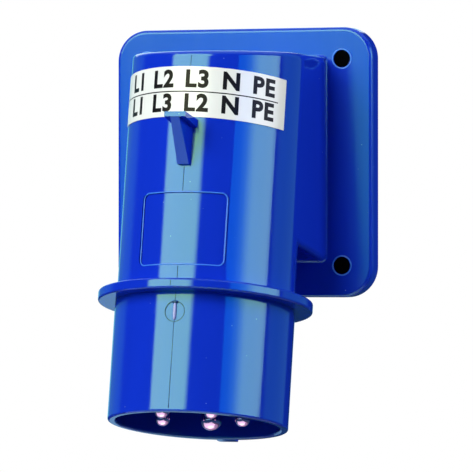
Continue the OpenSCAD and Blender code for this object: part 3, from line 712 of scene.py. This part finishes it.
def moulded_gloss(name, values):
    """Gloss of the moulded plastic, satin on the plate, with streaks down the mould and a fine ripple."""
    tint = (*values.gloss_tint, 1)
    finish = Finish(name, Roughness=0.1, Specular_IOR_Level=0.8, Specular_Tint=tint)
    streak = finish.noise(900, 2, finish.along_plug((1, 1, 0.02)))
    satin = finish.spread(finish.axes(finish.place)["Y"], *SATIN_DEPTHS, to_high=SATIN)
    finish.feed("Roughness", finish.combine("ADD", finish.vary(streak, 0.05, 0.10), satin))
    ripple = finish.bump(finish.noise(260, 2), 0.02 * MM, strength=0.4)
    finish.feed("Normal", finish.bump(finish.noise(2600, 2), 0.004 * MM, strength=0.3, below=ripple))
    return finish


def housing_plastic(values):
    """Blue moulded plastic: a cloudy colour drawn out along the mould, and dust."""
    finish = moulded_gloss("housing_blue", values)
    flow = finish.noise(60, 4, finish.along_plug((1, 1, 0.25)))
    colour = finish.blend(flow, tone(values.housing, 0.9), tone(values.housing, 1.1))
    finish.feed("Base Color", finish.blend(finish.specks(200, 0.04), colour, values.dust))
    return finish


class INLET_OT_housing(Operator):
    """Gives the housing its moulded plastic"""

    bl_idname = "inlet.housing"
    bl_label = "Housing"

    def execute(self, context):
        paint(housing_plastic(looks().finish), "housing")
        return {"FINISHED"}


def label_film(values):
    """Satin printed film: faint clouding and a fine grain."""
    finish = Finish("label_film", Roughness=0.2)
    finish.feed("Base Color", finish.blend(finish.noise(180, 4), tone(values.label, 0.95), values.label))
    finish.feed("Roughness", finish.vary(finish.noise(1500), 0.16, 0.26))
    finish.feed("Normal", finish.bump(finish.noise(4000, 2), 0.004 * MM, strength=0.4))
    return finish


def print_ink(values):
    """Black ink with thin spots."""
    finish = Finish("print_ink", Roughness=0.35, Specular_IOR_Level=0.12)
    finish.feed("Base Color", finish.blend(finish.noise(2200), values.ink, tone(values.ink, 2.5)))
    finish.feed("Roughness", finish.vary(finish.noise(3000), 0.28, 0.42))
    return finish


def wrap_on_label(points, radius, centre, middle, slope):
    """Flat points bent round the plug axis: x becomes an arc, y a height and z a distance outwards.

    The height also grows with the sideways place by a slope, as on a label that sits askew.
    """
    angle = centre + points[:, 0] / radius
    return plug_points(angle, radius + points[:, 2], middle + points[:, 1] + slope * radius * np.sin(angle))


class INLET_OT_label(Operator):
    """Gives the label its film and prints two rows of terminal marks with a line between them"""

    bl_idname = "inlet.label"
    bl_label = "Label"

    # Angle of the print's middle from the front, towards +X
    CENTRE = math.radians(3.0)
    # Gap between words, as a share of the font's own
    WORD_SPACE = 1.45
    # Distance of the rows from the middle, as a share of a quarter of the label's height
    ROW_SHARE = 0.95
    # Ends of the line, as shares of the label's first and last angle, and points along it
    LINE_SHARES = (0.97, 0.90)
    LINE_POINTS = 120

    def execute(self, context):
        values = looks().label_print
        paint(label_film(looks().finish), "label")
        ink = print_ink(looks().finish).material
        angle, radius, height, side = plug_measures("label")
        slope = np.polyfit(side, height, 1)[0]
        level = height - slope * side
        middle = (level.min() + level.max()) / 2
        quarter = (level.max() - level.min()) / 4
        radius = radius.max()
        sizes = (values.letter_size, values.stroke, values.ink_depth, self.WORD_SPACE)
        rows = (("upper", values.upper_row, quarter), ("lower", values.lower_row, -quarter))
        for name, words, rise in rows:
            points, faces = flat_text(words, *sizes)
            bent = wrap_on_label(points, radius, self.CENTRE, middle + self.ROW_SHARE * rise, slope)
            add_piece(f"label_print_{name}", bent, faces, ink, "inlet", "label_film", smooth=False)
        ends = np.array(self.LINE_SHARES) * (angle.min(), angle.max())
        self.add_divider(values, ink, ends, radius, middle, slope)
        return {"FINISHED"}

    def add_divider(self, values, ink, ends, radius, middle, slope):
        """Line round the label: a flat rectangular section carried along an arc, askew as the label is."""
        turn = np.linspace(*ends, self.LINE_POINTS)[:, None]
        across = np.array((-1, -1, 1, 1)) * values.divider_width / 2
        out = np.array((-1, 1, 1, -1)) * values.ink_depth
        points = plug_points(turn, radius + out, middle + across + slope * radius * np.sin(turn))
        faces = loop_faces(self.LINE_POINTS, len(across), False)
        add_piece("label_divider", points, faces, ink, "inlet", "label_film", smooth=False)


# Darkest and lightest blue of the seam, painted shade that makes it much darker than the housing
SEAM_PAINTED_SHADE_BLUES = ((0.002, 0.008, 0.10), (0.003, 0.012, 0.16))


def seam_painted_shade_plastic(values):
    """The housing's gloss on a darker, cloudy blue of painted shade, for the seam, the gate ring and the
    stub's cap.
    """
    finish = moulded_gloss("housing_blue_seam_painted_shade", values)
    finish.feed("Base Color", finish.blend(finish.noise(400), *SEAM_PAINTED_SHADE_BLUES))
    return finish


class INLET_OT_seam(Operator):
    """Runs the mould seam down the front of hood, flange and collar, in a darker blue of painted shade"""

    bl_idname = "inlet.seam"
    bl_label = "Mould seam"

    # How far the seam's edges lie under the wall, in millimetres
    SINK = 0.01
    # Radius and the lower and upper height above the rim of each stretch, in millimetres
    STRETCHES = (
        (28.5, 1.0, 28.0), (28.5, 34.6, 37.6), (34.0, 38.6, 40.2), (28.1, 41.4, 45.9),
        (28.1, 69.6, 77.4), (28.1, 109.8, 113.0),
    )
    # Points across the seam's back, and along each stretch
    BACK_POINTS = 7
    STATIONS = 24

    def execute(self, context):
        """Carries a section up each stretch: its back is a squared cosine, its foot lies under the wall."""
        seam = looks().seam
        across = np.linspace(-1, 1, self.BACK_POINTS)
        rise = seam.height * np.cos(across * np.pi / 2) ** 2 - self.SINK * MM
        foot = -2 * seam.height
        across, rise = np.append(across, (1, -1)), np.append(rise, (foot, foot))
        points, faces = [], []
        for radius, low, high in self.STRETCHES:
            height = np.linspace(low, high, self.STATIONS)[:, None] * MM
            angle = across * seam.width / 2 / (radius * MM)
            start = self.STATIONS * len(across) * len(points)
            faces += loop_faces(self.STATIONS, len(across), False, start)
            points.append(plug_points(angle, radius * MM + rise, height).reshape(-1, 3))
        # Painted shade: the seam gets a much darker blue than the housing
        finish = seam_painted_shade_plastic(looks().finish).material
        add_piece("mould_seam", np.vstack(points), faces, finish, "inlet", "housing_blue")
        return {"FINISHED"}


class INLET_OT_name_panel(Operator):
    """Lays a fine bead round the name panel"""

    bl_idname = "inlet.name_panel"
    bl_label = "Name panel"

    def execute(self, context):
        values = looks().panel
        outline = rounded_outline(values.width, values.height, values.corner)
        sizes = (values.wall_radius, values.middle, values.bead_width, values.bead_height)
        bead = bead_on_wall(*outline, *sizes)
        add_piece("name_panel_bead", *bead, bpy.data.materials["housing_blue"], "inlet", "housing_blue")
        return {"FINISHED"}


def gate_scar(values):
    """Broken plastic: whitened in grains, matt and torn."""
    finish = Finish("housing_blue_scar", Roughness=0.5)
    torn = finish.noise(3200, 4)
    finish.feed("Base Color", finish.blend(torn, tone(values.scar, 0.55), tone(values.scar, 1.25)))
    finish.feed("Roughness", finish.vary(torn, 0.35, 0.65))
    finish.feed("Normal", finish.bump(torn, 0.05 * MM, strength=0.6))
    return finish


class INLET_OT_gate_mark(Operator):
    """Lays a fine ring round the gate mark and whitens the stub of the sprue; ring and cap get the seam's
    painted shade
    """

    bl_idname = "inlet.gate_mark"
    bl_label = "Gate mark"

    # Points along the ring, round a lump and along a lump
    RING_POINTS = 64
    LUMP_AROUND = 33
    LUMP_ALONG = 17
    # Power of the cosine that gives a lump its bulge; at 1 the lump is an ellipsoid
    LUMP_POWER = 0.6
    # The cap is a dark lump of painted shade at the stub's upper end
    # Height of the cap's centre as a share of the stub's length, and its length as a share of its width
    CAP_RISE = 0.55
    CAP_SHARE = 0.35

    def execute(self, context):
        values = looks().gate
        turn = turns(self.RING_POINTS)
        normals = np.stack((np.cos(turn), np.sin(turn)), axis=-1)
        sizes = (values.wall_radius, values.middle, values.bead_width, values.bead_height)
        ring = bead_on_wall(values.ring_radius * normals, normals, *sizes)
        # Painted shade: the ring and the stub's cap take the seam's dark blue
        seam = bpy.data.materials["housing_blue_seam_painted_shade"]
        add_piece("gate_ring", *ring, seam, "inlet", "housing_blue")
        scar = gate_scar(looks().finish).material
        self.add_lump("gate_stub_scar", scar, 0.0, values.stub_width, values.stub_length)
        rise, length = self.CAP_RISE * values.stub_length, self.CAP_SHARE * values.shade_cap_width
        self.add_lump("gate_stub_cap_painted_shade", seam, rise, values.shade_cap_width, length)
        return {"FINISHED"}

    def add_lump(self, name, finish, rise, width, length):
        """Closed lump on the collar: an ellipsoid whose sides are made fuller by a power of the cosine."""
        values = looks().gate
        around = np.linspace(0, 2 * np.pi, self.LUMP_AROUND)[:, None]
        along = np.linspace(-np.pi / 2, np.pi / 2, self.LUMP_ALONG)
        bulge = np.cos(along) ** self.LUMP_POWER
        arc = width / 2 * bulge * np.cos(around)
        out = values.stub_height * bulge * np.sin(around)
        level = values.middle + rise + length / 2 * np.sin(along)
        points = plug_points(arc / values.wall_radius, values.wall_radius + out, level)
        faces = grid_faces(self.LUMP_AROUND, self.LUMP_ALONG)
        add_piece(name, points, faces, finish, "inlet", "housing_blue")


def plated_contact(values):
    """Polished plating on turned brass: fine rings across the pin and a few worn spots."""
    finish = Finish("contact_nickel", Metallic=1.0, Roughness=0.16)
    worn = finish.spread(finish.noise(500, 4), 0.55, 0.75, to_high=0.5)
    finish.feed("Base Color", finish.blend(worn, values.contact, tone(values.contact, 0.8)))
    finish.feed("Roughness", finish.vary(finish.noise(1200), 0.07, 0.15))
    rings = finish.noise(3000, 2, finish.along_plug((0.02, 0.02, 1)))
    finish.feed("Normal", finish.bump(rings, 0.004 * MM, strength=0.3))
    return finish


def turned_brass(values):
    """Turned brass: rings across the axis, tarnished in patches."""
    finish = Finish("terminal_brass", Metallic=1.0, Roughness=0.3)
    tarnish = finish.spread(finish.noise(220, 5), 0.4, 0.7)
    finish.feed("Base Color", finish.blend(tarnish, values.brass, tone(values.brass, 0.66)))
    finish.feed("Roughness", finish.vary(finish.noise(900), 0.22, 0.42))
    rings = finish.noise(2400, 2, finish.along_plug((0.02, 0.02, 1)))
    finish.feed("Normal", finish.bump(rings, 0.008 * MM, strength=0.5))
    return finish


class INLET_OT_contacts(Operator):
    """Plates the five pins and finishes the two fixed terminals"""

    bl_idname = "inlet.contacts"
    bl_label = "Contacts"

    def execute(self, context):
        values = looks().finish
        pins = ("earth_pin", "neutral_pin", "phase_pin_1", "phase_pin_2", "phase_pin_3")
        paint(plated_contact(values), *pins)
        paint(turned_brass(values), "phase_terminal_2", "phase_terminal_3")
        return {"FINISHED"}


def matt_moulding(name, colour, rough):
    """Matt filled plastic: specks of filler, uneven gloss and a spark-eroded grain."""
    finish = Finish(name, Roughness=rough)
    speck = finish.spread(finish.noise(5000, 2), 0.62, 0.72)
    cloud = finish.blend(finish.noise(120, 4), tone(colour, 0.85), tone(colour, 1.15))
    finish.feed("Base Color", finish.blend(speck, cloud, tone(colour, 1.9)))
    finish.feed("Roughness", finish.vary(finish.noise(700), rough - 0.06, rough + 0.08))
    grain = finish.bump(finish.noise(3500), 0.02 * MM, strength=0.5)
    finish.feed("Normal", finish.bump(finish.noise(300, 2), 0.03 * MM, strength=0.3, below=grain))
    return finish


class INLET_OT_insulators(Operator):
    """Gives the two carriers and the disc their matt mouldings, and raises the pole marks"""

    bl_idname = "inlet.insulators"
    bl_label = "Insulators"

    # Pole marks on the contact carrier: words, angle from the front in degrees and radius in millimetres
    POLES = (("L1", 108, 20.6), ("L2", 53, 20.0), ("L3", -53, 20.0), ("N", -108, 20.6), ("PE", 180, 20.6))
    # Font size of the marks and how far they stand out, in millimetres
    MARK_SIZE = 4.2
    MARK_HEIGHT = 0.25

    def execute(self, context):
        values = looks().finish
        carrier = matt_moulding("insulator_black", values.insulator, rough=0.5)
        paint(carrier, "contact_carrier")
        face = plug_measures("contact_carrier")[2].min()
        for words, angle, radius in self.POLES:
            points, faces = flat_text(words, self.MARK_SIZE * MM, 0.0, self.MARK_HEIGHT * MM)
            place = plug_points(math.radians(angle), radius * MM, face)
            raised = place + points * (1, -1, -1) @ np.stack((PLUG_SIDE, PLUG_BACK, PLUG_UP))
            name = f"pole_mark_{words}"
            add_piece(name, raised, faces, carrier.material, "inlet", "insulator_black", smooth=False)
        paint(matt_moulding("insulator_grey", values.terminal_body, rough=0.48), "terminal_carrier")
        paint(matt_moulding("disc_grey", values.disc, rough=0.42), "inverter_disc")
        return {"FINISHED"}


def rolled_strip(name, colour, rough):
    """Rolled metal strip: fine lines along the strip and a heat tint in patches."""
    finish = Finish(name, Metallic=1.0, Roughness=rough)
    tint = finish.spread(finish.noise(260), 0.35, 0.65)
    finish.feed("Base Color", finish.blend(tint, colour, tone(colour, 0.75)))
    lines = finish.noise(4000, 2, finish.along_plug((1, 0.03, 1)))
    finish.feed("Roughness", finish.vary(lines, rough - 0.07, rough + 0.09))
    finish.feed("Normal", finish.bump(lines, 0.004 * MM, strength=0.4))
    return finish


class INLET_OT_springs(Operator):
    """Finishes the spring washer and the two contact springs"""

    bl_idname = "inlet.springs"
    bl_label = "Springs"

    def execute(self, context):
        values = looks().finish
        bronze = rolled_strip("spring_bronze", values.bronze, rough=0.28)
        paint(bronze, "contact_spring_2", "contact_spring_3")
        paint(rolled_strip("spring_steel", values.spring, rough=0.3), "spring_washer")
        return {"FINISHED"}


# Straw sheen of passivated zinc
STRAW = (0.74, 0.72, 0.62)


def zinc_plating(values):
    """Zinc plating: a crystalline bloom with a faint blue and straw sheen."""
    finish = Finish("screw_steel", Metallic=1.0, Roughness=0.32)
    sheen = finish.blend(finish.noise(900, 4), tone(values.screw, 0.82), STRAW)
    finish.feed("Base Color", finish.blend(finish.noise(350), sheen, values.screw))
    finish.feed("Roughness", finish.vary(finish.noise(1800), 0.24, 0.42))
    finish.feed("Normal", finish.bump(finish.noise(5000, 2), 0.006 * MM, strength=0.4))
    return finish


class INLET_OT_screws(Operator):
    """Zinc-plates the terminal, carrier and joint screws"""

    bl_idname = "inlet.screws"
    bl_label = "Screws"

    def execute(self, context):
        paint(zinc_plating(looks().finish), "terminal_screws", "carrier_screws", "joint_screws")
        return {"FINISHED"}


def seal_rubber(values):
    """Closed-cell rubber sheet: pores and a dusty bloom."""
    finish = Finish("seal_rubber", Roughness=0.75, Specular_IOR_Level=0.3)
    bloom = finish.spread(finish.noise(90, 5), 0.45, 0.75, to_high=0.7)
    finish.feed("Base Color", finish.blend(bloom, values.rubber, tone(values.rubber, 2.4)))
    finish.feed("Roughness", finish.vary(finish.noise(800), 0.66, 0.84))
    finish.feed("Normal", finish.bump(finish.noise(2600, 4), 0.05 * MM, strength=0.6))
    return finish


def painted_shade_membrane(values):
    """Dull black rubber skin that paints shade in the screw holes: faint clouds and a fine grain."""
    finish = Finish("seal_membrane_painted_shade", Roughness=0.9, Specular_IOR_Level=0.0)
    colour = values.membrane
    finish.feed("Base Color", finish.blend(finish.noise(900), tone(colour, 0.6), tone(colour, 1.4)))
    finish.feed("Normal", finish.bump(finish.noise(2600, 4), 0.05 * MM, strength=0.6))
    return finish


class INLET_OT_seal(Operator):
    """Gives the panel seal its rubber, closes the screw holes with black membranes of painted shade and
    rims them
    """

    bl_idname = "inlet.seal"
    bl_label = "Panel seal"

    # Points round a rim, and round its section
    RIM_POINTS = 48
    SECTION_POINTS = 10
    # Points round a membrane, the first and the last in one place
    SKIN_POINTS = 49
    # Profile of a membrane from its middle: shares of its radius, and of the dimple's depth there
    SKIN_RADII = np.array((0, 0.12, 0.22, 0.5, 0.8, 1.0))
    SKIN_DISH = np.array((1.0, 1.0, 0.3, 0.0, 0.0, 0.0))

    def execute(self, context):
        values = looks().seal
        paint(seal_rubber(looks().finish), "panel_seal")
        shade_skin = painted_shade_membrane(looks().finish).material
        holes = MOUNTS["panel_holes"]["dims"]
        spacing = np.array((holes["spacing_x_mm"], holes["spacing_y_mm"])) * MM / 2
        signs = np.array(((-1, -1), (-1, 1), (1, -1), (1, 1)))
        for number, (x, z) in enumerate(signs * spacing, start=1):
            self.add_membrane(f"seal_membrane_painted_shade_{number}", values, shade_skin, x, z)
            self.add_rim(f"hole_rim_{number}", values, x, z)
        return {"FINISHED"}

    def add_rim(self, name, values, x, z):
        """Closed ring on the plate round a screw hole: an ellipse carried round a circle about Y."""
        around = turns(self.RIM_POINTS)[:, None]
        turn = turns(self.SECTION_POINTS)
        radius = values.hole_radius + values.rim_width / 2 * (1 + np.cos(turn))
        y = -values.plate - values.rim_height * np.sin(turn)
        spots = np.broadcast_arrays(x + radius * np.cos(around), y, z + radius * np.sin(around))
        finish = bpy.data.materials["housing_blue"]
        faces = loop_faces(self.RIM_POINTS, self.SECTION_POINTS, True)
        add_piece(name, np.stack(spots, axis=-1), faces, finish, "inlet", "housing_blue")

    def add_membrane(self, name, values, shade_skin, x, z):
        """Thin closed disc with a dimple, black to paint shade in the hole.

        A profile from the middle of its front to the middle of its back is turned about Y.
        """
        dish = self.SKIN_DISH * values.dimple
        half = values.membrane / 2
        radius = np.concatenate((self.SKIN_RADII, self.SKIN_RADII[::-1])) * values.hole_radius
        y = values.depth - values.plate + np.concatenate((dish - half, (dish + half)[::-1]))
        turn = np.linspace(0, 2 * np.pi, self.SKIN_POINTS)[:, None]
        spots = np.broadcast_arrays(x + radius * np.cos(turn), y, z + radius * np.sin(turn))
        faces = grid_faces(self.SKIN_POINTS, len(radius))
        add_piece(name, np.stack(spots, axis=-1), faces, shade_skin, "inlet", "seal_rubber")


STEPS = (
    INLET_OT_stage, INLET_OT_housing, INLET_OT_label, INLET_OT_seam, INLET_OT_name_panel,
    INLET_OT_gate_mark, INLET_OT_contacts, INLET_OT_insulators, INLET_OT_springs, INLET_OT_screws,
    INLET_OT_seal,
)


class INLET_PT_looks(Panel):
    """Lists the steps in the 3D view's sidebar"""

    bl_label = "Appliance inlet"
    bl_idname = "INLET_PT_looks"
    bl_space_type = "VIEW_3D"
    bl_region_type = "UI"
    bl_category = "Inlet"

    def draw(self, context):
        for step in STEPS:
            self.layout.operator(step.bl_idname)


CLASSES = (
    StudioValues, FinishValues, PrintValues, SeamValues, PanelValues, GateValues, SealValues, InletLooks,
    *STEPS, INLET_PT_looks,
)


def register():
    """Registers the classes, and gives the scene its values."""
    for made in CLASSES:
        bpy.utils.register_class(made)
    bpy.types.Scene.inlet_looks = PointerProperty(type=InletLooks)


def unregister():
    """Takes the scene's values and the classes away again."""
    del bpy.types.Scene.inlet_looks
    for made in reversed(CLASSES):
        bpy.utils.unregister_class(made)


def main():
    """Registers the add-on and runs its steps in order."""
    register()
    bpy.ops.inlet.stage()
    bpy.ops.inlet.housing()
    bpy.ops.inlet.label()
    bpy.ops.inlet.seam()
    bpy.ops.inlet.name_panel()
    bpy.ops.inlet.gate_mark()
    bpy.ops.inlet.contacts()
    bpy.ops.inlet.insulators()
    bpy.ops.inlet.springs()
    bpy.ops.inlet.screws()
    bpy.ops.inlet.seal()


if __name__ == "__main__":
    main()
